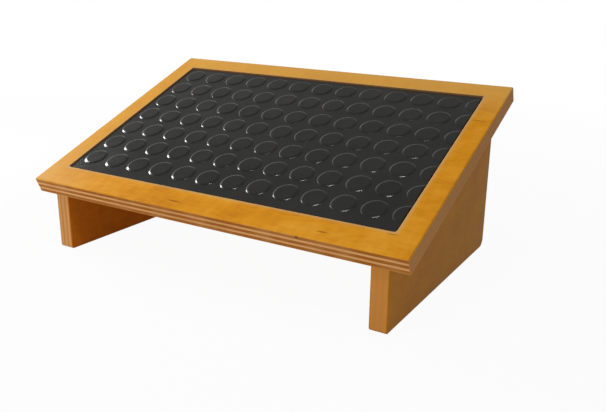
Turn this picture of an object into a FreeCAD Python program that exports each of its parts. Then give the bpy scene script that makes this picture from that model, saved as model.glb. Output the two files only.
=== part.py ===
import FreeCAD, Part
import math
import os

import Sketcher
from FreeCAD import Placement, Rotation, Vector

# Tilted under-desk footrest: a plywood board with a studded rubber mat let into its top, carried at a
# fixed slope by two plywood side panels.
#
# Part frame: -Y is the low front, +X is on the right when seen from there, +Z is up. The origin is on
# the floor, under the middle of the footrest. Lengths are millimetres, angles are degrees.
#
# Board frame: X is the same, U runs up the slope from the board's top front edge, W stands square to
# the top face, which is W = 0. The board, the mat, the screws and the dowels are placed in this frame.

OUTPUT_FOLDER = "parts"

# Driving sizes
SIZES = {
    # board
    "board_width": 450.0,
    "board_depth": 290.0,
    "board_thickness": 18.0,
    "board_edge_round": 1.5,
    "slope_angle": 22.5,
    "front_height": 79.5,
    # recess for the mat
    "recess_side_margin": 25.0,
    "recess_front_margin": 30.0,
    "recess_rear_margin": 27.0,
    "recess_sink": 4.0,
    "recess_corner_round": 3.0,
    "recess_lip_round": 1.2,
    # mat
    "mat_gap": 1.0,
    "mat_base": 2.8,
    "stud_diameter": 26.0,
    "stud_rise": 0.9,
    "stud_bevel": 0.7,
    "stud_pitch": 31.85,
    "stud_first_column": 16.3,
    "stud_first_row": 23.8,
    # side panels
    "panel_thickness": 18.0,
    "panel_overhang": 21.2,
    "panel_front_setback": 3.0,
    "panel_rear_setback": 0.5,
    "panel_front_round": 3.0,
    "panel_rear_round": 9.0,
    "panel_edge_round": 1.0,
    # wood screws
    "screw_diameter": 4.0,
    "screw_core": 2.8,
    "screw_length": 45.0,
    "screw_plain_shank": 14.0,
    "screw_point": 5.0,
    "screw_head": 8.0,
    "screw_head_land": 0.4,
    "screw_head_sink": 0.2,
    "screw_thread_pitch": 2.0,
    "screw_thread_root": 1.4,
    "screw_drive_length": 4.6,
    "screw_drive_width": 1.1,
    "screw_drive_sink": 1.8,
    "screw_clearance": 0.2,
    "screw_point_room": 1.0,
    "screw_end_inset": 45.0,
    # dowels
    "dowel_diameter": 8.0,
    "dowel_length": 30.0,
    "dowel_in_board": 9.0,
    "dowel_chamfer": 1.0,
    "dowel_clearance": 0.2,
    "dowel_glue_room": 1.0,
    # pads
    "pad_thickness": 1.0,
    "pad_length": 30.0,
    "pad_width": 12.0,
    "pad_corner_round": 3.0,
    "pad_end_inset": 6.0,
}

# Expressions shared by several pieces
SLOPE_SIN = "sin(Sizes.slope_angle)"
SLOPE_COS = "cos(Sizes.slope_angle)"
SLOPE_TAN = "tan(Sizes.slope_angle)"
FLOOR_DEPTH = f"(Sizes.board_depth * {SLOPE_COS} + Sizes.board_thickness * {SLOPE_SIN})"
LOWER_FRONT_EDGE = f"(-{FLOOR_DEPTH} / 2 + Sizes.board_thickness * {SLOPE_SIN})"
LOWER_FRONT_HEIGHT = f"(Sizes.front_height - Sizes.board_thickness * {SLOPE_COS})"
PANEL_DEPTH = f"(Sizes.board_depth * {SLOPE_COS} - Sizes.panel_front_setback - Sizes.panel_rear_setback)"
PANEL_FRONT = f"({LOWER_FRONT_EDGE} + Sizes.panel_front_setback)"
PANEL_REAR = f"({PANEL_FRONT} + {PANEL_DEPTH})"
PANEL_FRONT_TOP = f"({LOWER_FRONT_HEIGHT} + Sizes.panel_front_setback * {SLOPE_TAN})"
PANEL_REAR_TOP = f"({PANEL_FRONT_TOP} + {PANEL_DEPTH} * {SLOPE_TAN})"
PANEL_CENTRE = "(Sizes.board_width / 2 - Sizes.panel_overhang - Sizes.panel_thickness / 2)"
RECESS_WIDTH = "(Sizes.board_width - 2 * Sizes.recess_side_margin)"
RECESS_DEPTH = "(Sizes.board_depth - Sizes.recess_front_margin - Sizes.recess_rear_margin)"
MAT_WIDTH = f"({RECESS_WIDTH} - 2 * Sizes.mat_gap)"
MAT_DEPTH = f"({RECESS_DEPTH} - 2 * Sizes.mat_gap)"
SCREW_HOLE = "(Sizes.screw_diameter + Sizes.screw_clearance)"
HEAD_DROP = "(Sizes.screw_head_sink + Sizes.screw_head_land)"
DOWEL_HOLE = "(Sizes.dowel_diameter + Sizes.dowel_clearance)"

FRONT_SCREW = "Sizes.screw_end_inset"
REAR_SCREW = "(Sizes.board_depth - Sizes.screw_end_inset)"
MIDDLE_SCREW = f"(({FRONT_SCREW} + {REAR_SCREW}) / 2)"
FRONT_DOWEL = f"(({FRONT_SCREW} + {MIDDLE_SCREW}) / 2)"
REAR_DOWEL = f"(({MIDDLE_SCREW} + {REAR_SCREW}) / 2)"
SCREW_PLACES = {"front": FRONT_SCREW, "middle": MIDDLE_SCREW, "rear": REAR_SCREW}
DOWEL_PLACES = {"front": FRONT_DOWEL, "rear": REAR_DOWEL}
PANEL_CENTRES = {"left": f"(-{PANEL_CENTRE})", "right": PANEL_CENTRE}

CROSS_ARMS = 2
FULL_TURN = 360.0
NEAR = 1e-4

doc = FreeCAD.newDocument("footrest")


def make_sheet():
    """The sheet of driving sizes, one row each: the name beside its value."""
    sheet = doc.addObject("Spreadsheet::Sheet", "Sizes")
    for row, (name, value) in enumerate(SIZES.items(), start=1):
        sheet.set(f"A{row}", name)
        sheet.set(f"B{row}", str(value))
        sheet.setAlias(f"B{row}", name)
    doc.recompute()


# Bodies, sketches and places


def make_body(name):
    """An empty body, labelled with the name of the piece."""
    body = doc.addObject("PartDesign::Body", name)
    body.Label = name
    return body


def origin_feature(body, role):
    """One of the body's own origin planes or axes, by its role."""
    return next(item for item in body.Origin.OriginFeatures if item.Role == role)


def make_sketch(body, name, plane="XY_Plane"):
    """An empty sketch on one of the body's origin planes."""
    sketch = body.newObject("Sketcher::SketchObject", name)
    sketch.AttachmentSupport = (origin_feature(body, plane), [""])
    sketch.MapMode = "FlatFace"
    return sketch


def place_in_board_frame(target, prefix, x, u, w):
    """Binds a placement to the point (x, u, w) of the board frame, turned to the slope."""
    slope = Rotation(Vector(1, 0, 0), SIZES["slope_angle"])
    setattr(target, prefix, Placement(Vector(0, 0, 0), slope))
    back = f"-{FLOOR_DEPTH} / 2 + ({u}) * {SLOPE_COS} - ({w}) * {SLOPE_SIN}"
    up = f"Sizes.front_height + ({u}) * {SLOPE_SIN} + ({w}) * {SLOPE_COS}"
    target.setExpression(f"{prefix}.Base.x", x)
    target.setExpression(f"{prefix}.Base.y", back)
    target.setExpression(f"{prefix}.Base.z", up)
    target.setExpression(f"{prefix}.Rotation.Angle", "Sizes.slope_angle")


def dimension(sketch, constraint, expression):
    """Adds a dimension to a sketch and binds it to an expression of the sheet."""
    index = sketch.addConstraint(constraint)
    sketch.setExpression(f"Constraints[{index}]", expression)


def fix_point(sketch, shape, point, x, y):
    """Ties a point of the sketch to its origin, across and up, by two expressions."""
    if x == "0":
        sketch.addConstraint(Sketcher.Constraint("PointOnObject", shape, point, -2))
    else:
        dimension(sketch, Sketcher.Constraint("DistanceX", -1, 1, shape, point, 1.0), x)
    if y == "0":
        sketch.addConstraint(Sketcher.Constraint("PointOnObject", shape, point, -1))
    else:
        dimension(sketch, Sketcher.Constraint("DistanceY", -1, 1, shape, point, 1.0), y)


def value_of(expression):
    """The number that an expression of the sheet has now."""
    return float(doc.Sizes.evalExpression(expression.replace("Sizes.", "")))


def draw_outline(sketch, corners):
    """A closed outline of straight lines whose corners are pairs of expressions."""
    points = [Vector(value_of(x), value_of(y), 0) for x, y in corners]
    first = sketch.GeometryCount
    count = len(corners)
    for i in range(count):
        sketch.addGeometry(Part.LineSegment(points[i], points[(i + 1) % count]), False)
    for i in range(count):
        following = first + (i + 1) % count
        sketch.addConstraint(Sketcher.Constraint("Coincident", first + i, 2, following, 1))
    for i, (x, y) in enumerate(corners):
        fix_point(sketch, first + i, 1, x, y)


def draw_rectangle(sketch, left, bottom, right, top):
    """A rectangle between four expressions."""
    draw_outline(sketch, [(left, bottom), (right, bottom), (right, top), (left, top)])


def draw_circle(sketch, x, y, diameter):
    """A circle whose centre and diameter are expressions."""
    centre = Vector(value_of(x), value_of(y), 0)
    index = sketch.addGeometry(Part.Circle(centre, Vector(0, 0, 1), value_of(diameter) / 2), False)
    dimension(sketch, Sketcher.Constraint("Diameter", index, 1.0), diameter)
    fix_point(sketch, index, 3, x, y)


# Features


def require_cut(feature, volume_before):
    """Stops if a cut took nothing away."""
    doc.recompute()
    if feature.Shape.Volume > volume_before - NEAR:
        raise ValueError(f"{feature.Label} cuts nothing")


def add_pad(body, name, sketch, length, reverse=False):
    """A solid pad of a sketch, its length bound to an expression."""
    feature = body.newObject("PartDesign::Pad", name)
    feature.Profile = sketch
    feature.Reversed = reverse
    feature.setExpression("Length", length)
    doc.recompute()
    return feature


def cut_pocket(body, name, sketch, depth, reverse=False):
    """A pocket of a sketch, its depth bound to an expression. Reversed, it cuts towards the normal."""
    volume_before = body.Shape.Volume
    feature = body.newObject("PartDesign::Pocket", name)
    feature.Profile = sketch
    feature.Reversed = reverse
    feature.setExpression("Length", depth)
    require_cut(feature, volume_before)
    return feature


def revolve(body, name, sketch):
    """A full turn of a sketch about its own upright axis."""
    feature = body.newObject("PartDesign::Revolution", name)
    feature.Profile = sketch
    feature.ReferenceAxis = (sketch, ["V_Axis"])
    feature.Angle = FULL_TURN
    doc.recompute()
    return feature


def line_pattern(body, name, axis, count, pitch, reverse=False):
    """Copies along one of the body's axes, as many and as far apart as two expressions say."""
    pattern = body.newObject("PartDesign::LinearPattern", name)
    pattern.Direction = (origin_feature(body, axis), [""])
    pattern.Reversed = reverse
    pattern.setExpression("Occurrences", count)
    pattern.setExpression("Length", f"({count} - 1) * {pitch}")
    return pattern


def round_edges(body, name, base, wanted, radius):
    """Rounds those edges of a feature that a test picks out."""
    names = [f"Edge{i}" for i, edge in enumerate(base.Shape.Edges, start=1) if wanted(edge)]
    fillet = body.newObject("PartDesign::Fillet", name)
    fillet.Base = (base, names)
    fillet.setExpression("Radius", radius)
    doc.recompute()
    return fillet


def runs_along(edge, direction):
    """True for a straight edge that runs along a direction."""
    if not isinstance(edge.Curve, Part.Line):
        return False
    return edge.Curve.Direction.cross(direction).Length < NEAR


def inside_box(edge, low, high):
    """True if an edge's own box lies between two corners."""
    box = edge.BoundBox
    below = (box.XMin > low.x - NEAR, box.YMin > low.y - NEAR, box.ZMin > low.z - NEAR)
    above = (box.XMax < high.x + NEAR, box.YMax < high.y + NEAR, box.ZMax < high.z + NEAR)
    return all(below) and all(above)


# Board


def cut_mat_recess(board):
    """The routed recess: square walls, round corners and an eased lip."""
    left = f"(-{RECESS_WIDTH} / 2)"
    right = f"({RECESS_WIDTH} / 2)"
    front = "Sizes.recess_front_margin"
    rear = f"({front} + {RECESS_DEPTH})"
    outline = make_sketch(board, "recess_outline")
    draw_rectangle(outline, left, front, right, rear)
    recess = cut_pocket(board, "mat_recess", outline, "Sizes.recess_sink")

    low = Vector(value_of(left), value_of(front), -value_of("Sizes.recess_sink"))
    high = Vector(value_of(right), value_of(rear), 0)
    upright = Vector(0, 0, 1)

    def is_corner(edge):
        return inside_box(edge, low, high) and runs_along(edge, upright)

    def is_lip(edge):
        return inside_box(edge, Vector(low.x, low.y, 0), high)

    corners = round_edges(board, "recess_corners", recess, is_corner, "Sizes.recess_corner_round")
    round_edges(board, "recess_lip", corners, is_lip, "Sizes.recess_lip_round")


def drill_board_screw_holes(board):
    """Countersunk holes through the floor of the recess, three over each panel."""
    centres = make_sketch(board, "screw_hole_centres")
    centres.setExpression("AttachmentOffset.Base.z", "-Sizes.recess_sink")
    for x in PANEL_CENTRES.values():
        for u in SCREW_PLACES.values():
            draw_circle(centres, x, u, SCREW_HOLE)
    doc.recompute()
    volume_before = board.Shape.Volume
    holes = board.newObject("PartDesign::Hole", "screw_holes")
    holes.Profile = centres
    holes.DepthType = "ThroughAll"
    holes.setExpression("Diameter", SCREW_HOLE)
    holes.HoleCutType = "Countersink"
    holes.HoleCutCountersinkAngle = 90.0
    holes.setExpression("HoleCutDiameter", f"Sizes.screw_head + 2 * {HEAD_DROP} + Sizes.screw_clearance")
    require_cut(holes, volume_before)


def drill_board_dowel_holes(board):
    """Blind holes in the underside, two over each panel."""
    centres = make_sketch(board, "dowel_hole_centres")
    centres.setExpression("AttachmentOffset.Base.z", "-Sizes.board_thickness")
    for x in PANEL_CENTRES.values():
        for u in DOWEL_PLACES.values():
            draw_circle(centres, x, u, DOWEL_HOLE)
    cut_pocket(board, "dowel_holes", centres, "Sizes.dowel_in_board", reverse=True)


def make_top_board():
    """The plywood board, its edges eased all round."""
    board = make_body("top_board")
    place_in_board_frame(board, "Placement", "0", "0", "0")
    outline = make_sketch(board, "board_outline")
    half_width = "(Sizes.board_width / 2)"
    draw_rectangle(outline, f"(-{half_width})", "0", half_width, "Sizes.board_depth")
    blank = add_pad(board, "board_blank", outline, "Sizes.board_thickness", reverse=True)
    round_edges(board, "board_edges", blank, lambda edge: True, "Sizes.board_edge_round")
    cut_mat_recess(board)
    drill_board_screw_holes(board)
    drill_board_dowel_holes(board)
    return board


# Mat


def draw_mat_edge(sketch):
    """The mat's outline: a rectangle whose round corners follow the recess at the mat's gap."""
    radius = "(Sizes.recess_corner_round - Sizes.mat_gap)"
    far_x = f"({MAT_WIDTH} - {radius})"
    far_u = f"({MAT_DEPTH} - {radius})"
    centres = [(radius, radius), (far_x, radius), (far_x, far_u), (radius, far_u)]
    size = value_of(radius)
    first = sketch.GeometryCount
    for corner, (x, u) in enumerate(centres):
        circle = Part.Circle(Vector(value_of(x), value_of(u), 0), Vector(0, 0, 1), size)
        start = math.pi * (1 + corner / 2)
        sketch.addGeometry(Part.ArcOfCircle(circle, start, start + math.pi / 2), False)
    for corner in range(4):
        start = sketch.getPoint(first + corner, 2)
        end = sketch.getPoint(first + (corner + 1) % 4, 1)
        side = sketch.addGeometry(Part.LineSegment(start, end), False)
        following = first + (corner + 1) % 4
        sketch.addConstraint(Sketcher.Constraint("Tangent", first + corner, 2, side, 1))
        sketch.addConstraint(Sketcher.Constraint("Tangent", side, 2, following, 1))
    for corner, (x, u) in enumerate(centres):
        dimension(sketch, Sketcher.Constraint("Radius", first + corner, size), radius)
        fix_point(sketch, first + corner, 3, x, u)


def make_stud_mat():
    """The rubber mat, cut through from a larger sheet with a square grid of low round studs.

    The grid starts whole at the front left, and the mat's other edges cut what passes them."""
    mat = make_body("stud_mat")
    corner = f"(-{MAT_WIDTH} / 2)"
    front = "(Sizes.recess_front_margin + Sizes.mat_gap)"
    place_in_board_frame(mat, "Placement", corner, front, "(-Sizes.recess_sink)")

    spare = "Sizes.stud_diameter"
    near = f"(-{spare})"
    outline = make_sketch(mat, "sheet_outline")
    draw_rectangle(outline, near, near, f"({MAT_WIDTH} + {spare})", f"({MAT_DEPTH} + {spare})")
    add_pad(mat, "sheet", outline, "Sizes.mat_base")

    radius = "(Sizes.stud_diameter / 2)"
    stud_top = "(Sizes.mat_base + Sizes.stud_rise)"
    profile = make_sketch(mat, "stud_profile", "XZ_Plane")
    profile.setExpression("AttachmentOffset.Base.x", "Sizes.stud_first_column")
    profile.setExpression("AttachmentOffset.Base.z", "-Sizes.stud_first_row")
    top_radius = f"({radius} - Sizes.stud_bevel)"
    foot = "Sizes.mat_base"
    draw_outline(profile, [("0", foot), (radius, foot), (top_radius, stud_top), ("0", stud_top)])
    stud = revolve(mat, "first_stud", profile)

    columns = f"(floor(({MAT_WIDTH} - Sizes.stud_first_column + {radius}) / Sizes.stud_pitch) + 1)"
    rows = f"(floor(({MAT_DEPTH} - Sizes.stud_first_row + {radius}) / Sizes.stud_pitch) + 1)"
    grid = mat.newObject("PartDesign::MultiTransform", "stud_grid")
    across = line_pattern(mat, "stud_columns", "X_Axis", columns, "Sizes.stud_pitch")
    deep = line_pattern(mat, "stud_rows", "Y_Axis", rows, "Sizes.stud_pitch")
    grid.Originals = [stud]
    grid.Transformations = [across, deep]
    mat.Tip = grid
    doc.recompute()

    trim = make_sketch(mat, "cut_edges")
    trim.setExpression("AttachmentOffset.Base.z", stud_top)
    beyond = f"(2 * {spare})"
    start = f"(-{beyond})"
    draw_rectangle(trim, start, start, f"({MAT_WIDTH} + {beyond})", f"({MAT_DEPTH} + {beyond})")
    draw_mat_edge(trim)
    cut_pocket(mat, "cut_to_size", trim, stud_top)
    return mat


# Side panels


def make_side_panel(side):
    """A side panel: upright plywood whose top follows the slope of the board.

    Its lower corners are rounded, its edges eased, and its top edge is left square for the joint."""
    panel = make_body(f"{side}_panel")
    panel.setExpression("Placement.Base.x", f"{PANEL_CENTRES[side]} - Sizes.panel_thickness / 2")
    outline = make_sketch(panel, f"{side}_panel_outline", "YZ_Plane")
    foot = "Sizes.pad_thickness"
    corners = [
        (PANEL_FRONT, foot),
        (PANEL_REAR, foot),
        (PANEL_REAR, PANEL_REAR_TOP),
        (PANEL_FRONT, PANEL_FRONT_TOP),
    ]
    draw_outline(outline, corners)
    blank = add_pad(panel, f"{side}_panel_blank", outline, "Sizes.panel_thickness")

    across = Vector(1, 0, 0)
    foot_height = value_of(foot)

    def is_lower_corner(edge, y):
        box = edge.BoundBox
        low = abs(box.ZMax - foot_height) < NEAR
        return low and abs(box.YMax - value_of(y)) < NEAR and runs_along(edge, across)

    def at_front(edge):
        return is_lower_corner(edge, PANEL_FRONT)

    def at_rear(edge):
        return is_lower_corner(edge, PANEL_REAR)

    front_corner = round_edges(panel, f"{side}_front_corner", blank, at_front, "Sizes.panel_front_round")
    rear_corner = round_edges(panel, f"{side}_rear_corner", front_corner, at_rear, "Sizes.panel_rear_round")

    slope = Vector(0, value_of(SLOPE_COS), value_of(SLOPE_SIN))

    def is_outer_edge(edge):
        in_face = edge.BoundBox.XLength < NEAR
        return in_face and not runs_along(edge, slope)

    round_edges(panel, f"{side}_panel_edges", rear_corner, is_outer_edge, "Sizes.panel_edge_round")
    drill_panel_holes(panel, side)
    return panel


def drill_panel_holes(panel, side):
    """Pilot holes and dowel holes, square to the sloping top edge."""
    screw_end = "(Sizes.recess_sink + Sizes.screw_head_sink + Sizes.screw_length)"
    pilot_depth = f"({screw_end} - Sizes.board_thickness + Sizes.screw_point_room)"
    dowel_depth = "(Sizes.dowel_length - Sizes.dowel_in_board + Sizes.dowel_glue_room)"
    kinds = {
        "pilot_holes": (SCREW_PLACES, SCREW_HOLE, pilot_depth),
        "dowel_holes": (DOWEL_PLACES, DOWEL_HOLE, dowel_depth),
    }
    for kind, (places, diameter, depth) in kinds.items():
        centres = make_sketch(panel, f"{side}_{kind}_centres")
        place_in_board_frame(
            centres, "AttachmentOffset", "Sizes.panel_thickness / 2", "0", "(-Sizes.board_thickness)"
        )
        for u in places.values():
            draw_circle(centres, "0", u, diameter)
        cut_pocket(panel, f"{side}_{kind}", centres, depth)


# Fasteners


def make_screw(name, x, u):
    """A countersunk wood screw with a cross slot, its thread drawn as rings."""
    screw = make_body(name)
    place_in_board_frame(screw, "Placement", x, u, "-Sizes.recess_sink - Sizes.screw_head_sink")
    head = "(Sizes.screw_head / 2)"
    shank = "(Sizes.screw_diameter / 2)"
    core = "(Sizes.screw_core / 2)"
    cone_end = f"(-Sizes.screw_head_land - {head} + {shank})"
    thread_start = "(-Sizes.screw_plain_shank)"
    core_start = f"({thread_start} - {shank} + {core})"
    point_start = "(-Sizes.screw_length + Sizes.screw_point)"
    profile = make_sketch(screw, f"{name}_profile", "XZ_Plane")
    corners = [
        ("0", "0"),
        ("0", "(-Sizes.screw_length)"),
        (core, point_start),
        (core, core_start),
        (shank, thread_start),
        (shank, cone_end),
        (head, "(-Sizes.screw_head_land)"),
        (head, "0"),
    ]
    draw_outline(profile, corners)
    revolve(screw, f"{name}_blank", profile)
    cut_screw_thread(screw, name, shank, core)
    cut_cross_slot(screw, name)
    return screw


def cut_screw_thread(screw, name, shank, core):
    """Sharp rings from the plain shank to the point."""
    half_root = "(Sizes.screw_thread_root / 2)"
    middle = "(-Sizes.screw_plain_shank - Sizes.screw_thread_pitch)"
    inner = f"({core} / 2)"
    profile = make_sketch(screw, f"{name}_thread_profile", "XZ_Plane")
    corners = [
        (inner, f"({middle} - {half_root})"),
        (core, f"({middle} - {half_root})"),
        (shank, middle),
        (core, f"({middle} + {half_root})"),
        (inner, f"({middle} + {half_root})"),
    ]
    draw_outline(profile, corners)
    ring = revolve(screw, f"{name}_ring", profile)
    room = "(Sizes.screw_length - Sizes.screw_plain_shank - Sizes.screw_point)"
    count = f"max(floor({room} / Sizes.screw_thread_pitch); 1)"
    pitch = "Sizes.screw_thread_pitch"
    pattern = line_pattern(screw, f"{name}_thread", "Z_Axis", count, pitch, reverse=True)
    pattern.Originals = [ring]
    screw.Tip = pattern
    doc.recompute()


def cut_cross_slot(screw, name):
    """Two crossed slots in the head."""
    half_length = "(Sizes.screw_drive_length / 2)"
    half_width = "(Sizes.screw_drive_width / 2)"
    slot = make_sketch(screw, f"{name}_slot")
    draw_rectangle(slot, f"(-{half_length})", f"(-{half_width})", half_length, half_width)
    first = cut_pocket(screw, f"{name}_slot_cut", slot, "Sizes.screw_drive_sink")
    cross = screw.newObject("PartDesign::PolarPattern", f"{name}_cross")
    cross.Axis = (origin_feature(screw, "Z_Axis"), [""])
    cross.Angle = FULL_TURN / (2 * CROSS_ARMS)
    cross.Occurrences = CROSS_ARMS
    cross.Originals = [first]
    screw.Tip = cross
    doc.recompute()


def make_dowel(name, x, u):
    """A round beech dowel with chamfered ends, seated in the board and glued into the panel."""
    dowel = make_body(name)
    place_in_board_frame(dowel, "Placement", x, u, "(-Sizes.board_thickness + Sizes.dowel_in_board)")
    section = make_sketch(dowel, f"{name}_section")
    draw_circle(section, "0", "0", "Sizes.dowel_diameter")
    rod = add_pad(dowel, f"{name}_rod", section, "Sizes.dowel_length", reverse=True)
    chamfer = dowel.newObject("PartDesign::Chamfer", f"{name}_ends")
    names = [f"Edge{i}" for i, edge in enumerate(rod.Shape.Edges, start=1) if not is_seam(edge)]
    chamfer.Base = (rod, names)
    chamfer.setExpression("Size", "Sizes.dowel_chamfer")
    doc.recompute()
    return dowel


def is_seam(edge):
    """True for the straight seam of a round rod."""
    return isinstance(edge.Curve, Part.Line)


# Pads


def make_foot_pad(name, side, near):
    """A thin anti-slip pad under one end of a panel, set in from the flat's end and sides."""
    foot = make_body(name)
    starts = {
        "front": f"({PANEL_FRONT} + Sizes.panel_front_round + Sizes.pad_end_inset)",
        "rear": f"({PANEL_REAR} - Sizes.panel_rear_round - Sizes.pad_end_inset - Sizes.pad_length)",
    }
    foot.setExpression("Placement.Base.x", PANEL_CENTRES[side])
    foot.setExpression("Placement.Base.y", starts[near])
    outline = make_sketch(foot, f"{name}_outline")
    half_width = "(Sizes.pad_width / 2)"
    draw_rectangle(outline, f"(-{half_width})", "0", half_width, "Sizes.pad_length")
    blank = add_pad(foot, f"{name}_blank", outline, "Sizes.pad_thickness")
    upright = Vector(0, 0, 1)
    round_edges(
        foot, f"{name}_corners", blank, lambda edge: runs_along(edge, upright), "Sizes.pad_corner_round"
    )
    return foot


def make_pieces():
    """Every piece of the footrest."""
    pieces = [make_top_board(), make_stud_mat()]
    for side, x in PANEL_CENTRES.items():
        pieces.append(make_side_panel(side))
        for near, u in SCREW_PLACES.items():
            pieces.append(make_screw(f"{side}_{near}_screw", x, u))
        for near, u in DOWEL_PLACES.items():
            pieces.append(make_dowel(f"{side}_{near}_dowel", x, u))
        for near in ("front", "rear"):
            pieces.append(make_foot_pad(f"{side}_{near}_pad", side, near))
    return pieces


def check_model(pieces):
    """Stops on a failed feature, or on a piece that is not one valid solid."""
    for item in doc.Objects:
        if "Invalid" in item.State or "Error" in item.State:
            raise ValueError(f"{item.Label} failed: {item.State}")
    for piece in pieces:
        shape = piece.Shape
        if shape.isNull() or not shape.isValid() or len(shape.Solids) != 1:
            raise ValueError(f"{piece.Label} is not one valid solid")


def write_pieces(pieces):
    """One STEP file for each piece, named for it."""
    os.makedirs(OUTPUT_FOLDER, exist_ok=True)
    for piece in pieces:
        piece.Shape.exportStep(os.path.join(OUTPUT_FOLDER, f"{piece.Label}.step"))
        box = piece.Shape.BoundBox
        size = f"{box.XLength:.1f} x {box.YLength:.1f} x {box.ZLength:.1f}"
        print(f"{piece.Label}: {size} mm, {piece.Shape.Volume:.0f} mm3")


make_sheet()
footrest = make_pieces()
doc.recompute()
check_model(footrest)
write_pieces(footrest)
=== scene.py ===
# %% [markdown]
# # A tilted under-desk footrest
#
# The real object is a piece of simple joinery: a plywood board on two plywood side panels, with a black
# studded rubber mat let into the top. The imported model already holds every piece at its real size, so this
# file gives the pieces their finish, makes the mat again as a finer surface, and sets up a small studio.
#
# Blender counts in metres. The sizes below are written in millimetres and turned with `MM`.

import math

import bmesh
import bpy
import numpy as np
from mathutils import Matrix, Vector


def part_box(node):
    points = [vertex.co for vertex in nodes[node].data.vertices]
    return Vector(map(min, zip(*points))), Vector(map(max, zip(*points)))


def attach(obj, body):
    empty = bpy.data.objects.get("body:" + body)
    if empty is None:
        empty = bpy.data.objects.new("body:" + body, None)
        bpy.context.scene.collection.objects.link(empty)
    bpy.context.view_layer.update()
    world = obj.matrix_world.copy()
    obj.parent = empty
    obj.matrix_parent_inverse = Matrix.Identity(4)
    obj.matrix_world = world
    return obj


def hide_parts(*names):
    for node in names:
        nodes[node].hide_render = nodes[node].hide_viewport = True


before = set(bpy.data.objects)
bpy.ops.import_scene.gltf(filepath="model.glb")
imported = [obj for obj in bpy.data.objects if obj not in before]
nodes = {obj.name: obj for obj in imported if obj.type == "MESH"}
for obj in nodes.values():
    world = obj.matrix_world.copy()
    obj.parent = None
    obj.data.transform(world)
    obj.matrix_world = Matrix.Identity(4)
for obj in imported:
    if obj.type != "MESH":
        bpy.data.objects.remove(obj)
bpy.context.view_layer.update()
MM = 0.001
print("pieces in the model:", len(nodes))

# %% [markdown]
# ## The board's own frame
#
# The board is tilted, so its finish and the mat are easier to describe in a frame that is tilted with it.
# `x` runs to the right, `u` runs up the slope from the board's top front edge, and `w` stands square to the
# top face, which is `w = 0`. Two numbers set the frame: the slope and the height of the top front edge.

# %% The board's frame
SLOPE = math.radians(22.5)
FRONT_HEIGHT = 79.5 * MM
BOARD_DEPTH = 290.0 * MM
BOARD_THICKNESS = 18.0 * MM
FLOOR_DEPTH = BOARD_DEPTH * math.cos(SLOPE) + BOARD_THICKNESS * math.sin(SLOPE)

board_turn = Matrix.Rotation(SLOPE, 3, "X")
board_frame = Matrix.Translation((0.0, -FLOOR_DEPTH / 2, FRONT_HEIGHT)) @ board_turn.to_4x4()
far_edge = board_frame @ Vector((0, BOARD_DEPTH, 0))
print("the top rear edge is", round(far_edge.z / MM, 1), "mm above the floor")

# %% [markdown]
# ## The camera
#
# The camera stands at the right front, a little above the footrest, and looks down at it by 17 degrees.
# A camera is a place, a heading, a tilt, a small roll and a focal length. The heading is counted from
# straight ahead (+Y) towards the left. The small shift, in widths of the picture, moves the picture
# without turning the camera.

# %% Set up the camera
CAMERA_PLACE = Vector((432.1, -639.5, 295.2)) * MM
CAMERA_HEADING = math.radians(28.69)
CAMERA_TILT = math.radians(16.88)
CAMERA_ROLL = math.radians(1.41)
CAMERA_LENS = 42.24
CAMERA_SENSOR = 36.0
CAMERA_SHIFT = (-0.0573, -0.0140)

camera_data = bpy.data.cameras.new("camera")
camera_data.sensor_fit = "HORIZONTAL"
camera_data.sensor_width = CAMERA_SENSOR
camera_data.lens = CAMERA_LENS
camera_data.shift_x, camera_data.shift_y = CAMERA_SHIFT
camera_data.clip_start = 10 * MM

camera = bpy.data.objects.new("camera", camera_data)
heading = Matrix.Rotation(CAMERA_HEADING, 4, "Z")
tilt = Matrix.Rotation(math.pi / 2 - CAMERA_TILT, 4, "X")
roll = Matrix.Rotation(CAMERA_ROLL, 4, "Z")
camera.matrix_world = Matrix.Translation(CAMERA_PLACE) @ heading @ tilt @ roll
bpy.context.scene.collection.objects.link(camera)
bpy.context.scene.camera = camera
print("camera distance:", round(CAMERA_PLACE.length, 3), "m")

# %% [markdown]
# ## Helpers for materials
#
# Colours are easy to read off as sRGB hex values, but Blender's shaders work with linear light, so one
# function turns the first into the second. Another adds a node with its settings and its links in one
# line, which keeps the longer materials below short enough to read. It fills the node's sockets in the
# order in which the node shows them, so the cell prints that order for a noise, the node used most.


# %% Colours
def colour(text):
    """An sRGB hex value as linear red, green, blue and alpha 1."""
    shares = np.array([int(text[i : i + 2], 16) for i in (1, 3, 5)]) / 255
    linear = np.where(shares <= 0.04045, shares / 12.92, ((shares + 0.055) / 1.055) ** 2.4)
    return (*linear.tolist(), 1.0)


def grey(level):
    """A grey of one level in linear light."""
    return (level, level, level, 1.0)


print("honey as linear light:", [round(v, 3) for v in colour("#E09530")])


# %% Nodes
def start_material(name):
    """A new material with an empty node tree, and that tree."""
    material = bpy.data.materials.new(name)
    material.use_nodes = True
    material.node_tree.nodes.clear()
    return material, material.node_tree


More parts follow.
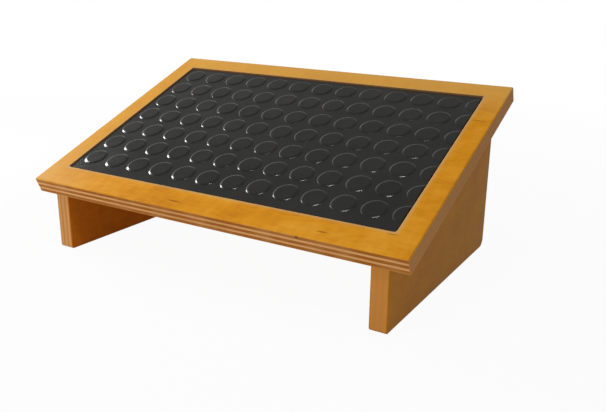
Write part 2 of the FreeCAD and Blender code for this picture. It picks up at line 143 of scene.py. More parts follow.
def add(tree, kind, *inputs, sockets=None, stops=None, blend="LINEAR", **settings):
    """Adds a node with its settings and links, and returns it.

    Inputs fill the node's open sockets in order, and `sockets` names others. Each is a value, an output
    of another node, or a node, which stands for its first open output. Stops are a ramp's places and
    colours."""
    node = tree.nodes.new("ShaderNode" + kind)
    for name, value in settings.items():
        setattr(node, name, value)
    pairs = list(zip((socket for socket in node.inputs if socket.enabled), inputs))
    pairs += [(node.inputs[name], value) for name, value in (sockets or {}).items()]
    for socket, value in pairs:
        if isinstance(value, bpy.types.Node):
            value = next(output for output in value.outputs if output.enabled)
        if isinstance(value, bpy.types.NodeSocket):
            tree.links.new(value, socket)
        else:
            socket.default_value = value
    for index, (place, value) in enumerate(stops or []):
        ramp = node.color_ramp
        ramp.interpolation = blend
        element = ramp.elements[index] if index < len(ramp.elements) else ramp.elements.new(place)
        element.position = place
        element.color = value
    return node


def dress(piece, material):
    """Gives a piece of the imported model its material."""
    nodes[piece].data.materials.clear()
    nodes[piece].data.materials.append(material)


trial, tree = start_material("trial")
print("a noise takes:", [socket.name for socket in add(tree, "TexNoise").inputs if socket.enabled])
bpy.data.materials.remove(trial)


# %% [markdown]
# ## Birch plywood, in honey-coloured lacquer
#
# Plywood is a stack of thin sheets of wood, glued with the grain of each sheet across the next. A face
# shows long grain only. An edge shows a stripe for each sheet: pale where the grain runs along the edge,
# and darker where it points at the eye, because end grain drinks more lacquer.
#
# A picture wrapped round the board can't do that, so the wood is worked out in three dimensions. From the
# place of a point the material finds the sheet that it lies in, from the sheet the direction of the grain,
# and from the direction of the surface how much of that grain is cut across. Every face, edge and rounded
# corner then shows what a saw would show there.

# %% Sheets of the plywood
SHEET_WANDER = 0.5
FACE_SHEET = 1.3
LONG_SHEET = 2.4
CROSS_SHEET = 3.55
MIDDLE_SHEET = 3.6
SHEETS = [FACE_SHEET, CROSS_SHEET, LONG_SHEET, MIDDLE_SHEET, LONG_SHEET, CROSS_SHEET, FACE_SHEET]
PLYWOOD = sum(SHEETS)
sheet_starts = (np.cumsum([0.0] + SHEETS[:-1]) / PLYWOOD).tolist()
sheet_stops = [(start, grey(float(index % 2))) for index, start in enumerate(sheet_starts)]
print("plywood of", len(SHEETS), "sheets,", round(PLYWOOD, 2), "mm")

# %% [markdown]
# The first step gives each point its place in the wood's own axes: the first runs along the grain of the
# faces, the second across it, and the third through the sheets. A Mapping node of the Texture kind does
# the turn, the move and the change to millimetres at once. The surface's direction is turned in the same
# way, and both have their first two axes swapped in the sheets whose grain runs across.


# %% The wood's own axes
def wood_axes(tree, place, turn):
    """Where a point lies in the wood, in millimetres, and which way its surface faces there."""
    source = add(tree, "TexCoord")
    angles = tuple(turn.to_euler())
    still, size = (0, 0, 0), (MM, MM, MM)
    point = add(tree, "Mapping", source.outputs["Object"], place, angles, size, vector_type="TEXTURE")
    facing = add(tree, "Mapping", source.outputs["Normal"], still, angles, vector_type="TEXTURE")
    facing = add(tree, "VectorMath", facing, operation="ABSOLUTE")
    return point, facing


def turned_grain(tree, crossed, vector):
    """The same vector with its first axis along the grain of its own sheet."""
    parts = add(tree, "SeparateXYZ", vector)
    swapped = add(tree, "CombineXYZ", parts.outputs[1], parts.outputs[0], parts.outputs[2])
    return add(tree, "Mix", crossed, vector, swapped, data_type="VECTOR")


def sheet_at(tree, point):
    """1 in a sheet whose grain runs across, and 0 in the others. No sheet is quite flat, so each wanders
    by half a millimetre, in waves about 33 mm long."""
    depth = add(tree, "SeparateXYZ", point).outputs[2]
    wander = add(tree, "TexNoise", point, 0.03, 1.0)
    depth = add(tree, "Math", wander, SHEET_WANDER, depth, operation="MULTIPLY_ADD")
    share = add(tree, "MapRange", depth, SHEET_WANDER / 2, PLYWOOD + SHEET_WANDER / 2)
    return add(tree, "ValToRGB", share, stops=sheet_stops, blend="CONSTANT")


print("the board's grain follows its slope of", round(math.degrees(SLOPE), 1), "degrees")


# %% [markdown]
# Birch veneer is peeled off the log like paper off a roll, so its figure is soft and long. Four scales of
# noise make it, each drawn out along the grain: broad clouds of colour, the growth rings some centimetres
# long, a faint curl across the grain, and the fibres. Real fibres are 0.02 mm wide. They are drawn 0.6 mm
# wide, or they wouldn't show at all. Pores are dashes 3 mm long.


# %% Figure of the veneer
CLOUD_SIZE = (60.0, 38.0)
GROWTH_SIZE = (95.0, 24.0)
CURL_SIZE = (7.0, 26.0)
FIBRE_SIZE = (16.0, 0.6)
PORE_SIZE = (3.2, 0.28)
CLOUD_WEIGHT, GROWTH_WEIGHT, CURL_WEIGHT, FIBRE_WEIGHT = 0.9, 0.05, 0.28, 0.6
GROWTH_TURNS = 42.0


def drawn_out(tree, grain, length, width, detail):
    """Noise in streaks along the grain, about so long and so wide, in millimetres."""
    size = (1 / length, 1 / width, 1 / width)
    place = add(tree, "Mapping", grain, (0, 0, 0), (0, 0, 0), size)
    return add(tree, "TexNoise", place, 1.0, detail, 0.55)


def veneer_tone(tree, grain, fibre, cloud):
    """How light the veneer is, about 0.5: clouds, growth rings, curl and fibres, each by its own weight.

    The rings are the sine of a broad noise times a number of turns, so they follow that noise's contours."""
    growth = drawn_out(tree, grain, *GROWTH_SIZE, 3.0)
    curl = drawn_out(tree, grain, *CURL_SIZE, 1.0)
    growth = add(tree, "Math", growth, GROWTH_TURNS, operation="MULTIPLY")
    growth = add(tree, "Math", growth, operation="SINE")
    tone = add(tree, "Math", growth, GROWTH_WEIGHT, 0.5, operation="MULTIPLY_ADD")
    for noise, weight in ((cloud, CLOUD_WEIGHT), (curl, CURL_WEIGHT), (fibre, FIBRE_WEIGHT)):
        about_zero = add(tree, "Math", noise, 0.5, operation="SUBTRACT")
        tone = add(tree, "Math", about_zero, weight, tone, operation="MULTIPLY_ADD")
    return tone


print("fibres are", FIBRE_SIZE[1], "mm wide and pores", PORE_SIZE[0], "mm long")


# %% [markdown]
# The edges come next. `cut` is how squarely the saw crossed the fibres at a point, from 0 to 1. Lacquer
# evens the sheets out more on some edges than on others, so each piece says how much of the difference
# between its sheets is left: first on the edges that cross the face grain, then on those that run along it.


# %% Edges of the plywood
EDGE_FIBRES = -0.7
EDGE_START, EDGE_FULL = 0.9, 1.5


def edge_colour(tree, facing, turned, stripes, fibre, cloud, edge_tones):
    """The colour of an edge: pale where the grain runs along it and dark where it is cut across."""
    facing_parts = add(tree, "SeparateXYZ", facing)
    cut = add(tree, "SeparateXYZ", turned).outputs[0]
    cut = add(tree, "Math", cut, 1.5, operation="POWER")
    off_middle = add(tree, "Math", cut, 0.5, operation="SUBTRACT")
    left_over = add(tree, "Mix", facing_parts.outputs[1], stripes[0], stripes[1])
    uneven = add(tree, "MapRange", cloud, 0.4, 0.6, 0.6, 1.3)
    left_over = add(tree, "Math", left_over, uneven, operation="MULTIPLY")
    share = add(tree, "Math", off_middle, left_over, 0.5, operation="MULTIPLY_ADD")
    grainy = add(tree, "Math", fibre, 0.5, operation="SUBTRACT")
    share = add(tree, "Math", grainy, EDGE_FIBRES, share, operation="MULTIPLY_ADD")
    pale, dark = edge_tones
    return add(tree, "ValToRGB", share, stops=[(0.0, colour(pale)), (1.0, colour(dark))])


def edge_share(tree, point, facing):
    """0 on the faces of the plywood and 1 on its edges, changing over on the rounded corners.

    It stays 0 in the two thin face sheets, where the lacquer of the face has run over the corner."""
    upright = add(tree, "SeparateXYZ", facing).outputs[2]
    sawn = add(tree, "MapRange", upright, 0.93, 0.6)
    depth = add(tree, "SeparateXYZ", point).outputs[2]
    off_middle = add(tree, "Math", depth, PLYWOOD / 2, operation="SUBTRACT")
    off_middle = add(tree, "Math", off_middle, operation="ABSOLUTE")
    inner = add(tree, "MapRange", off_middle, PLYWOOD / 2 - EDGE_START, PLYWOOD / 2 - EDGE_FULL)
    return add(tree, "Math", sawn, inner, operation="MULTIPLY")


print("an edge shows its stripes from", EDGE_FULL, "mm below each face")


# %% [markdown]
# Three things break up the board's honey colour. A painted sheen makes it paler towards the left and the
# rear. It has a few dark flecks, where small knots were. And round the routed recess a painted highlight
# makes the lip paler and greyer, while painted shade darkens the recess's walls and floor and reaches a
# little over the lip at the left and the rear. All are places in the wood, so all are worked out from
# distances to the ends, to a point or to the recess.


# %% Painted sheen at the ends
SHEEN_LEFT, SHEEN_REAR = 85.0, 70.0
SHEEN_COLOUR = "#DFAA56"


def painted_sheen(tree, wood, point, left_end, rear_edge):
    """A painted sheen: the wood paler over the last stretch before its left end and before its rear edge."""
    parts = add(tree, "SeparateXYZ", point)
    leftward = add(tree, "MapRange", parts.outputs[0], left_end + SHEEN_LEFT, left_end, 0.0, 0.6)
    rearward = add(tree, "MapRange", parts.outputs[1], rear_edge - SHEEN_REAR, rear_edge, 0.0, 0.75)
    share = add(tree, "Math", leftward, rearward, operation="MAXIMUM")
    return add(tree, "Mix", share, wood, colour(SHEEN_COLOUR), data_type="RGBA")


# The paler ends are a painted sheen.
print("bleached over", SHEEN_LEFT, "mm at the left and", SHEEN_REAR, "mm at the rear")

# %% Flecks
KNOT_WOOD = "#6B3A0E"
RAGGEDNESS = 0.9


def flecked(tree, wood, point, fibre, marks):
    """Adds dark flecks: ragged ellipsoids, each given by its centre and its size along the wood's axes."""
    ragged = add(tree, "Math", fibre, RAGGEDNESS, -RAGGEDNESS / 2, operation="MULTIPLY_ADD")
    for centre, size in marks:
        away = add(tree, "VectorMath", point, centre, operation="SUBTRACT")
        scaled = add(tree, "VectorMath", away, [2 / length for length in size], operation="MULTIPLY")
        reach = add(tree, "VectorMath", scaled, operation="LENGTH")
        reach = add(tree, "Math", reach, ragged, operation="ADD")
        fleck = add(tree, "ValToRGB", reach, stops=[(0.0, grey(0.8)), (0.5, grey(0.55)), (1.0, grey(0.0))])
        wood = add(tree, "Mix", fleck, wood, colour(KNOT_WOOD), data_type="RGBA")
    return wood


print("a fleck's outline wanders by", RAGGEDNESS / 2, "of its radius")


# %% The recess's lip and walls
LIP_REACH, LIP_FULL, LIP_HIGHLIGHT = 4.5, 0.9, "#C9AC7E"
SHADE_REACH, SHADE_FULL, PAINTED_SHADE = 1.3, 0.5, "#3E2008"
SHADE_SHIFT = 0.9


def beyond_box(tree, point, centre, half_size):
    """How far a point lies beyond the sides of a box, in millimetres, and below zero inside it."""
    away = add(tree, "VectorMath", point, centre, operation="SUBTRACT")
    away = add(tree, "VectorMath", away, operation="ABSOLUTE")
    beyond = add(tree, "VectorMath", away, half_size, operation="SUBTRACT")
    beyond = add(tree, "SeparateXYZ", beyond)
    furthest = add(tree, "Math", beyond.outputs[0], beyond.outputs[1], operation="MAXIMUM")
    return add(tree, "Math", furthest, beyond.outputs[2], operation="MAXIMUM")


def lip_highlight_and_recess_shade(tree, wood, point, centre, half_size):
    """Paints a grey highlight on the lip, then shade in the recess and just beyond its left and rear."""
    beyond = beyond_box(tree, point, centre, half_size)
    # painted highlight: the wood near the recess is paler and greyer
    lip = add(tree, "MapRange", beyond, LIP_REACH, LIP_FULL, 0.0, 0.6)
    wood = add(tree, "Mix", lip, wood, colour(LIP_HIGHLIGHT), data_type="RGBA")
    # painted shade in the recess, reaching just over its left and rear lip
    shade_centre = (centre[0] - SHADE_SHIFT, centre[1] + SHADE_SHIFT, centre[2])
    beyond = beyond_box(tree, point, shade_centre, half_size)
    recess_shade = add(tree, "MapRange", beyond, SHADE_REACH, SHADE_FULL, 0.0, 0.85)
    return add(tree, "Mix", recess_shade, wood, colour(PAINTED_SHADE), data_type="RGBA")


print("the lip is greyer up to", LIP_REACH, "mm from the recess")


# %% [markdown]
# Satin lacquer lies over all of it. It fills most of the grain, so the bump is slight, and its gloss
# varies a little with the broad clouds. Sawn edges stay duller than the faces. A lacquer this matt and
# warm reflects little, so its specular level is set far below the usual 0.5.


# %% Plywood material
PORE_WOOD = "#8A5220"
GRAIN_DEPTH = 0.06 * MM
LACQUER_ROUGHNESS, CLOUDY_ROUGHNESS, EDGE_ROUGHNESS = 0.40, 0.10, 0.08


def plywood(name, place, turn, face_tones, edge_tones, stripes, marks=(), recess=None, ends=None):
    """Lacquered plywood. Its axes start at the place, and the turn gives their directions.

    The face tones go from dark to light, and the edge tones are for grain along the edge and across it."""
    material, tree = start_material(name)
    point, facing = wood_axes(tree, place, turn)
    crossed = sheet_at(tree, point)
    grain = turned_grain(tree, crossed, point)
    turned = turned_grain(tree, crossed, facing)
    fibre = drawn_out(tree, grain, *FIBRE_SIZE, 3.0)
    cloud = drawn_out(tree, grain, *CLOUD_SIZE, 2.0)
    pore = drawn_out(tree, grain, *PORE_SIZE, 1.0)
    pore = add(tree, "MapRange", pore, 0.62, 0.72, 0.0, 0.18)

    tone = veneer_tone(tree, grain, fibre, cloud)
    tones = list(zip((0.0, 0.5, 1.0), map(colour, face_tones)))
    face = add(tree, "ValToRGB", tone, stops=tones)
    # a painted sheen, paler towards the left end and the rear edge
    if ends:
        face = painted_sheen(tree, face, point, *ends)
    edge = edge_colour(tree, facing, turned, stripes, fibre, cloud, edge_tones)
    on_edge = edge_share(tree, point, facing)
    wood = add(tree, "Mix", on_edge, face, edge, data_type="RGBA")
    wood = add(tree, "Mix", pore, wood, colour(PORE_WOOD), data_type="RGBA")
    wood = flecked(tree, wood, point, fibre, marks)
    # a painted highlight on the recess's lip and painted shade in the recess
    if recess:
        wood = lip_highlight_and_recess_shade(tree, wood, point, *recess)

    height = add(tree, "Math", fibre, pore, operation="SUBTRACT")
    rise = add(tree, "Bump", 0.12, GRAIN_DEPTH, sockets={"Height": height})
    gloss = add(tree, "Math", cloud, CLOUDY_ROUGHNESS, LACQUER_ROUGHNESS, operation="MULTIPLY_ADD")
    gloss = add(tree, "Math", on_edge, EDGE_ROUGHNESS, gloss, operation="MULTIPLY_ADD")
    lacquer = {"Base Color": wood, "Roughness": gloss, "Normal": rise}
    lacquer |= {"IOR": 1.5, "Specular IOR Level": 0.03}
    shader = add(tree, "BsdfPrincipled", sockets=lacquer)
    add(tree, "OutputMaterial", shader)
    return material


print("lacquer roughness from", LACQUER_ROUGHNESS, "to", LACQUER_ROUGHNESS + CLOUDY_ROUGHNESS)


# %% [markdown]
# The board's face grain runs along its width. Its flecks are listed one by one, each as a centre and a size
# in millimetres along the wood's axes, whose third starts at the underside. Five lie on the top face, and
# the last is a small knot on the front edge.

# %% Finish the board
HONEY = ("#B4691A", "#DC921E", "#EDAC3E")
BOARD_EDGES = ("#E8AE70", "#AC6828")
BOARD_STRIPES = (0.08, 0.9)
BOARD_MARKS = [
    ((212.0, 216.0, 18.0), (20.0, 1.6, 4.0)),
    ((198.0, 26.0, 18.0), (16.0, 1.4, 4.0)),
    ((137.0, 11.0, 18.0), (15.0, 2.2, 4.0)),
    ((196.0, 264.0, 18.0), (9.0, 1.2, 4.0)),
    ((-33.0, 10.4, 18.0), (24.0, 2.6, 4.0)),
    ((116.0, 0.0, 15.8), (6.0, 5.0, 4.0)),
]
RECESS_CENTRE = (0.0, 146.5, 18.0)
RECESS_HALF_SIZE = (200.0, 116.5, 4.2)
LEFT_END, NEAR_REAR_EDGE = -225.0, 285.0
underside = board_frame @ Vector((0, 0, -BOARD_THICKNESS))
board_wood = plywood(
    "lacquered_birch_plywood_board",
    underside,
    board_turn,
    HONEY,
    BOARD_EDGES,
    BOARD_STRIPES,
    BOARD_MARKS,
    (RECESS_CENTRE, RECESS_HALF_SIZE),
    (LEFT_END, NEAR_REAR_EDGE),
)
dress("top_board", board_wood)
print("the board has", len(board_wood.node_tree.nodes), "nodes in its material")

# %% [markdown]
# The side panels stand on edge, with their face grain running from front to back. Both are the same birch,
# but the left panel's tones are redder, which is painted warm light bounced onto its shaded inner face,
# and the right panel's are browner, which is painted shade. Each panel has its face tones, its edge
# tones, its stripes, and the height at which it was cut out of the log's figure.

# %% Finish the side panels
along_panel = Matrix(((0, 0, 1), (1, 0, 0), (0, 1, 0)))
# The left panel's redder tones are painted bounce light, and the right panel's browner tones are painted
# shade.
PANEL_WOODS = {
    "left_panel": (("#AE5C13", "#CA7019", "#D87F24"), ("#DDA468", "#BA7C3C"), (0.5, 0.4), -30.0),
    "right_panel": (("#B06816", "#C6821E", "#D29029"), ("#D4954C", "#C07A32"), (0.1, 0.15), 45.0),
}
for panel, (face_tones, edge_tones, stripes, log_place) in PANEL_WOODS.items():
    low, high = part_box(panel)
    start = Vector((low.x, 0.0, log_place * MM))
    wood = plywood(f"lacquered_birch_plywood_{panel}", start, along_panel, face_tones, edge_tones, stripes)
    dress(panel, wood)
    print(panel, "starts at x", round(low.x / MM, 1), "mm")

# %% [markdown]
# ## The studded mat
#
# Studded rubber sheet is pressed in a mould: a flat web with low round studs on a square grid. It comes in
# large pieces, and the mat is cut from one, so the studs start whole at the front left and the right edge
# cuts through a column of them.
#
# The surface is worked out one grid cell at a time. A cell is a fan of rings about the stud's centre: the
# inner rings are circles that follow the stud's rounded rim, and the outer ones change into the cell's
# square, where neighbours meet point to point. Rings put the points where the shape bends, which an even
# grid of squares would need many times more of.

# %% Sizes of the mat
MAT_CORNER = Vector((-199.0, 31.0, -4.0)) * MM
MAT_WIDTH = 398.0 * MM
MAT_DEPTH = 231.0 * MM
MAT_CORNER_ROUND = 2.0 * MM
WEB_THICKNESS = 2.8 * MM
STUD_PITCH = 31.85 * MM
STUD_RISE = 0.9 * MM
CROWN_START = 10.2 * MM
STUD_RIM = 12.8 * MM
STUD_FOOT = 13.15 * MM
FIRST_STUD = (16.3 * MM, 23.8 * MM)
COLUMNS, ROWS, SPOKES = 13, 7, 64

# %% [markdown]
# The rim is what makes the studs visible. On the tops nothing changes from place to place, but on the
# rounded rim every slope occurs, so each lamp finds a spot there that throws it at the eye.


# %% One cell of the mat
def stud_height(radius):
    """Height above the web at a distance from the stud's centre.

    The slope grows evenly from nothing at the crown's start to its steepest at the rim, and falls evenly
    to nothing at the foot. What the surface has fallen so far is the area under that slope."""
    steepest = 2 * STUD_RISE / (STUD_FOOT - CROWN_START)
    crown = np.clip((radius - CROWN_START) / (STUD_RIM - CROWN_START), 0, 1)
    foot = np.clip((radius - STUD_RIM) / (STUD_FOOT - STUD_RIM), 0, 1)
    fallen = (STUD_RIM - CROWN_START) * crown**2 + (STUD_FOOT - STUD_RIM) * (2 * foot - foot**2)
    return STUD_RISE - steepest / 2 * fallen


def stud_cell():
    """Points of one cell about its centre, as an array of rings by spokes by (x, u, w).

    Rings up to the foot are circles. Those beyond are the circle blended towards the cell's square, which
    along a direction (c, s) lies at half the pitch divided by the larger of |c| and |s|."""
    angle = np.arange(SPOKES) * 2 * np.pi / SPOKES
    direction = np.stack([np.cos(angle), np.sin(angle)], -1)
    flat = np.array([0.0, 4.0, 8.0]) * MM
    crown = np.linspace(CROWN_START, STUD_RIM, 8)
    foot = np.linspace(STUD_RIM, STUD_FOOT, 5)[1:]
    circles = np.concatenate([flat, crown, foot])
    square = STUD_PITCH / 2 / np.abs(direction).max(-1)
    outward = np.array([0.35, 1.0])[:, None]
    inner = np.repeat(circles[:, None], SPOKES, 1)
    outer = STUD_FOOT + outward * (square - STUD_FOOT)[None, :]
    reach = np.concatenate([inner, outer])
    return np.concatenate([reach[..., None] * direction[None], stud_height(reach)[..., None]], -1)


cell = stud_cell()
print("a stud has", cell.shape[0], "rings of", cell.shape[1], "points")

# %% [markdown]
# The cells are laid side by side with one sum of arrays: a cell's points plus each stud's centre. The
# points on the outside of the whole grid are then moved further out, so that the sheet is larger than the
# mat on every side. It also gets a faint unevenness, since rubber sheet never lies quite flat.


# %% The uncut sheet
SPARE = 3.0 * MM
WAVE_HEIGHT = 0.05 * MM
SAME_PLACE = 1e-7


def sheet_points():
    """The cells' points moved to every stud: (rows, columns, rings, spokes, 3).

    The unevenness adds 0.05 mm times sin(x / 31 mm + u / 47 mm) plus sin(u / 23 mm - x / 61 mm) to w."""
    centres = np.zeros((ROWS, COLUMNS, 3))
    centres[..., 0] = FIRST_STUD[0] + np.arange(COLUMNS)[None, :] * STUD_PITCH
    centres[..., 1] = FIRST_STUD[1] + np.arange(ROWS)[:, None] * STUD_PITCH
    centres[..., 2] = WEB_THICKNESS
    points = centres[:, :, None, None, :] + cell[None, None]
    for axis in (0, 1):
        values = points[..., axis]
        low, high = values.min(), values.max()
        values[values < low + SAME_PLACE] = min(low, 0.0) - SPARE
        values[values > high - SAME_PLACE] = high + SPARE
    wave = np.sin(points[..., 0] / (31 * MM) + points[..., 1] / (47 * MM))
    wave += np.sin(points[..., 1] / (23 * MM) - points[..., 0] / (61 * MM))
    points[..., 2] += WAVE_HEIGHT * wave
    return points


def sheet_faces(points):
    """Four-sided faces between neighbouring rings and spokes, seen counterclockwise from above."""
    rows, columns, rings, spokes, _ = points.shape
    index = np.arange(rows * columns * rings * spokes).reshape(rows, columns, rings, spokes)
    inner, outer = index[:, :, :-1], index[:, :, 1:]
    quads = np.stack([inner, outer, np.roll(outer, -1, 3), np.roll(inner, -1, 3)], -1)
    return quads.reshape(-1, 4)


sheet = sheet_points()
quads = sheet_faces(sheet)
print("the sheet has", len(quads), "faces before it is cut")

# %% [markdown]
# Cutting follows the workshop: straight cuts along the outline, which is a rectangle whose corners are
# rounded by a few short cuts each. The cut edge is then drawn down to the underside and closed.


# %% The mat's outline
def mat_outline(cuts=5):
    """Points round the mat: at each corner, an arc of the corner's radius in a few equal steps."""
    near = MAT_CORNER_ROUND
    right, rear = MAT_WIDTH - near, MAT_DEPTH - near
    centres = np.array([(near, near), (right, near), (right, rear), (near, rear)])
    start = np.pi * (1 + np.arange(4) / 2)
    angle = start[:, None] + np.linspace(0, np.pi / 2, cuts)[None, :]
    arc = near * np.stack([np.cos(angle), np.sin(angle)], -1)
    return (centres[:, None, :] + arc).reshape(-1, 2)


outline = mat_outline()
print("the outline has", len(outline), "points")


# %% Cut the mat
def cut_along(shape, outline):
    """Keeps what lies inside a convex outline, with one straight cut for each of its sides."""
    following = np.roll(outline, -1, 0)
    for (x, u), (dx, du) in zip(outline, following - outline):
        geometry = shape.verts[:] + shape.edges[:] + shape.faces[:]
        cut = {"plane_co": (x, u, 0), "plane_no": (du, -dx, 0), "clear_outer": True}
        bmesh.ops.bisect_plane(shape, geom=geometry, dist=SAME_PLACE, **cut)


def close_below(shape):
    """Draws the open edge down to the underside, w = 0, and closes it with one face."""
    rim = [edge for edge in shape.edges if edge.is_boundary]
    wall = bmesh.ops.extrude_edge_only(shape, edges=rim)["geom"]
    for vertex in (item for item in wall if isinstance(item, bmesh.types.BMVert)):
        vertex.co.z = 0.0
    lower = [item for item in wall if isinstance(item, bmesh.types.BMEdge)]
    bmesh.ops.contextual_create(shape, geom=lower)
    for edge in rim + lower:
        edge.smooth = False


draft = bpy.data.meshes.new("draft")
draft.from_pydata(sheet.reshape(-1, 3).tolist(), [], quads.tolist())
shape = bmesh.new()
shape.from_mesh(draft)
bmesh.ops.remove_doubles(shape, verts=shape.verts[:], dist=SAME_PLACE)
cut_along(shape, outline)
for face in shape.faces:
    face.smooth = True
close_below(shape)
bmesh.ops.recalc_face_normals(shape, faces=shape.faces[:])
print("open edges left:", sum(1 for edge in shape.edges if not edge.is_manifold))

# %% Put the mat in its recess
mat_mesh = bpy.data.meshes.new("studded_mat")
shape.to_mesh(mat_mesh)
shape.free()
bpy.data.meshes.remove(draft)
mat_mesh.transform(board_frame @ Matrix.Translation(MAT_CORNER))
mat = bpy.data.objects.new("studded_mat", mat_mesh)
bpy.context.scene.collection.objects.link(mat)
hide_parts("stud_mat")
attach(mat, "root")
print("the mat has", len(mat_mesh.polygons), "faces")

# %% [markdown]
# ## Black rubber, pressed in a mould
#
# Rubber flooring is a mix of natural and synthetic rubber coloured with carbon black. The mould's polished
# steel leaves a skin with a soft sheen, so the tops look dark grey and the rims catch the lamps as small
# bright spots. Dust lies on it unevenly, which the roughness shows more than the colour does. The thin
# pads under the panels are a softer brown rubber, with hardly any sheen.


# %% Rubber material
DUST_PATCH = 38.0 * MM
DUST_SPECK = 0.8 * MM
SKIN_PIT = 0.45 * MM
SKIN_DEPTH = 0.03 * MM


def moulded_rubber(name, shade, dusty, roughness, sheen_level):
    """Moulded rubber: one dark colour with dusty patches, specks of dust and a finely pitted skin.

    The real skin has pits of a few hundredths of a millimetre. They are drawn 0.45 mm wide, to show."""
    material, tree = start_material(name)
    place = add(tree, "TexCoord").outputs["Object"]
    patches = add(tree, "TexNoise", place, 1 / DUST_PATCH, 3.0, 0.6)
    skin = add(tree, "TexNoise", place, 1 / SKIN_PIT, 2.0)
    specks = add(tree, "TexNoise", place, 1 / DUST_SPECK, 0.0)
    dust = add(tree, "MapRange", patches, 0.35, 0.75, 0.0, 0.4)
    speck = add(tree, "MapRange", specks, 0.74, 0.80, 0.0, 0.5)
    cover = add(tree, "Math", dust, speck, operation="MAXIMUM")
    base = add(tree, "Mix", cover, colour(shade), colour(dusty), data_type="RGBA")
    uneven = add(tree, "Math", patches, 0.12, roughness - 0.06, operation="MULTIPLY_ADD")
    rise = add(tree, "Bump", 0.1, SKIN_DEPTH, sockets={"Height": skin})
    rubber = {"Base Color": base, "Roughness": uneven, "Normal": rise}
    rubber |= {"IOR": 1.52, "Specular IOR Level": sheen_level}
    shader = add(tree, "BsdfPrincipled", sockets=rubber)
    add(tree, "OutputMaterial", shader)
    return material


mat_rubber = moulded_rubber("moulded_black_rubber", "#1E1E1C", "#302F2B", 0.205, 0.38)
mat_mesh.materials.append(mat_rubber)
pad_rubber = moulded_rubber("moulded_brown_rubber", "#4A3D30", "#65584A", 0.7, 0.3)
pads = [name for name in nodes if name.endswith("_pad")]
for pad in pads:
    dress(pad, pad_rubber)
print("rubber on the mat and", len(pads), "pads")

# %% [markdown]
# ## Fixings: zinc-plated screws and beech dowels
#
# The mat and the wood hide these, but anyone who takes the footrest apart sees them. Zinc plate is a
# bright bluish metal with fine turning marks. A beech dowel shows the short brown flecks that mark beech
# out. Both follow the board's slope, so both turn their pattern with it. Turning marks are a few
# hundredths of a millimetre apart, too fine to show, so the rings are drawn 0.4 mm apart.


# %% Zinc plate
RING_SCALE = 0.8


def zinc_plate(name):
    """Zinc on turned steel: a metal whose roughness varies in rings along its length.

    A wave texture has a ring every pi / 10 units divided by its scale, and a unit is a millimetre here."""
    material, tree = start_material(name)
    place = add(tree, "TexCoord").outputs["Object"]
    angles = tuple(board_turn.to_euler())
    point = add(tree, "Mapping", place, (0, 0, 0), angles, (MM, MM, MM), vector_type="TEXTURE")
    rings = add(tree, "TexWave", point, RING_SCALE, 2.0, bands_direction="Z").outputs["Fac"]
    patches = add(tree, "TexNoise", point, 0.7, 2.0)
    base = add(tree, "Mix", patches, colour("#A9ADB0"), colour("#C9CBC6"), data_type="RGBA")
    roughness = add(tree, "Math", rings, 0.12, 0.26, operation="MULTIPLY_ADD")
    zinc = {"Base Color": base, "Roughness": roughness, "Metallic": 1.0}
    shader = add(tree, "BsdfPrincipled", sockets=zinc)
    add(tree, "OutputMaterial", shader)
    return material


screw_steel = zinc_plate("zinc_plated_steel")
screws = [name for name in nodes if name.endswith("_screw")]
for screw in screws:
    dress(screw, screw_steel)
print("zinc on", len(screws), "screws, with a ring every", round(math.pi / 10 / RING_SCALE, 2), "mm")


# %% Beech
BEECH_FLECK = (0.3 * MM, 0.3 * MM, 2.0 * MM)


def beech(name):
    """Turned beech: pale pinkish wood with brown flecks 2 mm long and 0.3 mm wide along the dowel."""
    material, tree = start_material(name)
    place = add(tree, "TexCoord").outputs["Object"]
    angles = tuple(board_turn.to_euler())
    point = add(tree, "Mapping", place, (0, 0, 0), angles, BEECH_FLECK, vector_type="TEXTURE")
    flecks = add(tree, "TexNoise", point, 1.0, 1.0)
    shades = [(0.3, colour("#D9B48C")), (0.58, colour("#CDA179")), (0.7, colour("#A87850"))]
    base = add(tree, "ValToRGB", flecks, stops=shades)
    shader = add(tree, "BsdfPrincipled", sockets={"Base Color": base, "Roughness": 0.6, "IOR": 1.5})
    add(tree, "OutputMaterial", shader)
    return material


dowel_wood = beech("turned_beech")
dowels = [name for name in nodes if name.endswith("_dowel")]
for dowel in dowels:
    dress(dowel, dowel_wood)
print("beech on", len(dowels), "dowels")

# %% [markdown]
# ## A plain studio
#
# A product on white stands on white paper that runs back into the light. The paper is a real surface, so
# it catches the footrest's shadow and throws some light back up. What the camera and reflections see of
# it is mixed with a plain white glow, which lifts it to white and leaves a faint shadow near the object.
# The glow's share grows with the distance from the object, so that the floor has no edge.

# %% Floor
SPAN = 8.0
GLOW_NEAR, GLOW_FAR = 0.95, 1.0
NEAR, FAR = 0.4, 1.4
PAPER = 0.62
floor_mesh = bpy.data.meshes.new("floor")
corners = [(-SPAN, -SPAN, 0), (SPAN, -SPAN, 0), (SPAN, SPAN, 0), (-SPAN, SPAN, 0)]
floor_mesh.from_pydata(corners, [], [(0, 1, 2, 3)])
floor = bpy.data.objects.new("floor", floor_mesh)
bpy.context.scene.collection.objects.link(floor)

paper, tree = start_material("white_studio_paper")
rays = add(tree, "LightPath").outputs
seen = add(tree, "Math", rays["Is Camera Ray"], rays["Is Glossy Ray"], operation="MAXIMUM")
seen = add(tree, "Math", seen, rays["Is Transmission Ray"], operation="MAXIMUM")
distance = add(tree, "VectorMath", add(tree, "TexCoord").outputs["Object"], operation="LENGTH")
lift = add(tree, "MapRange", distance, NEAR, FAR, GLOW_NEAR, GLOW_FAR)
lift = add(tree, "Math", lift, seen, operation="MULTIPLY")
bare = add(tree, "BsdfDiffuse", grey(PAPER))
glow = add(tree, "Emission", grey(1.0), 1.0)
add(tree, "OutputMaterial", add(tree, "MixShader", lift, bare, glow))
floor_mesh.materials.append(paper)
print("floor of", 2 * SPAN, "m")

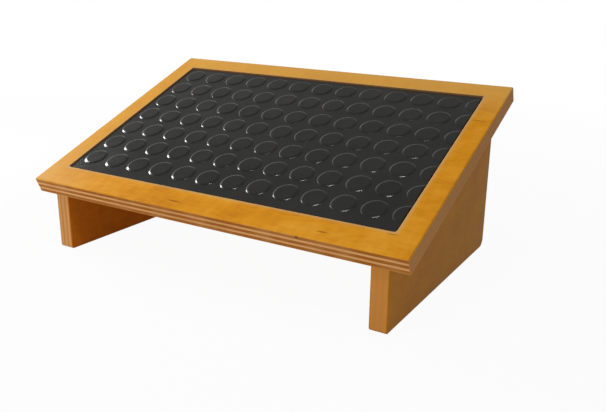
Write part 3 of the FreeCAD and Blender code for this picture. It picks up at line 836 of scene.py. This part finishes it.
# %% [markdown]
# The world is the white room behind. To the camera it is plain white. In reflections it is white up to
# about 30 degrees above the floor and dim above that, as a room is whose ceiling is unlit, or the top of
# the mat would look grey. On the object itself it only lends an even, weak light.

# %% World
WALL_TOP, CEILING = math.sin(math.radians(24)), math.sin(math.radians(36))
UNLIT_CEILING = 0.3
ROOM_LIGHT = 0.27
world = bpy.data.worlds.new("studio")
bpy.context.scene.world = world
world.use_nodes = True
tree = world.node_tree
tree.nodes.clear()
rays = add(tree, "LightPath").outputs
mirrored = add(tree, "Math", rays["Is Glossy Ray"], rays["Is Transmission Ray"], operation="MAXIMUM")
upward = add(tree, "SeparateXYZ", add(tree, "TexCoord").outputs["Generated"]).outputs[2]
room = add(tree, "MapRange", upward, WALL_TOP, CEILING, 1.0, UNLIT_CEILING)
level = add(tree, "Mix", mirrored, ROOM_LIGHT, room)
level = add(tree, "Mix", rays["Is Camera Ray"], level, 1.0)
add(tree, "OutputWorld", add(tree, "Background", grey(1.0), level))
print("world nodes:", len(tree.nodes))

# %% [markdown]
# ## Lamps
#
# Four soft lamps stand round the footrest. A narrow one above and in front, like a slot of skylight, puts
# the short bright dashes on the right-hand studs. A window at the left puts the spots on the left-hand
# studs and makes the left of the board the lighter side. The broad front lamp, left of the camera, lights
# the front edges, and a weaker one at the right lights the right end and the left panel's inner face. A
# stud's rim throws a lamp at the eye where it leans halfway between the two.


# %% Lamps
def soft_lamp(name, place, target, width, height, power):
    """A rectangular lamp that faces a point: its place and size in metres and its power in watts."""
    data = bpy.data.lights.new(name, "AREA")
    data.shape = "RECTANGLE"
    data.size = width
    data.size_y = height
    data.energy = power
    lamp = bpy.data.objects.new(name, data)
    turn = (Vector(target) - Vector(place)).to_track_quat("-Z", "Y")
    lamp.matrix_world = Matrix.Translation(Vector(place)) @ turn.to_matrix().to_4x4()
    bpy.context.scene.collection.objects.link(lamp)
    return lamp


MIDDLE = (0.0, 0.0, 0.1)
soft_lamp("skylight", (0.12, -0.45, 1.0), MIDDLE, 0.36, 0.04, 2.2)
soft_lamp("window", (-0.93, -0.02, 0.47), MIDDLE, 0.24, 0.32, 5.8)
soft_lamp("front", (-0.6, -1.4, 0.45), MIDDLE, 0.7, 0.5, 6.5)
soft_lamp("fill", (0.8, -1.1, 0.35), MIDDLE, 0.6, 0.4, 2.2)

# %% [markdown]
# ## Finish
#
# Colours are shown as they are, without a film look.

# %% Finish
bpy.context.scene.view_settings.view_transform = "Standard"
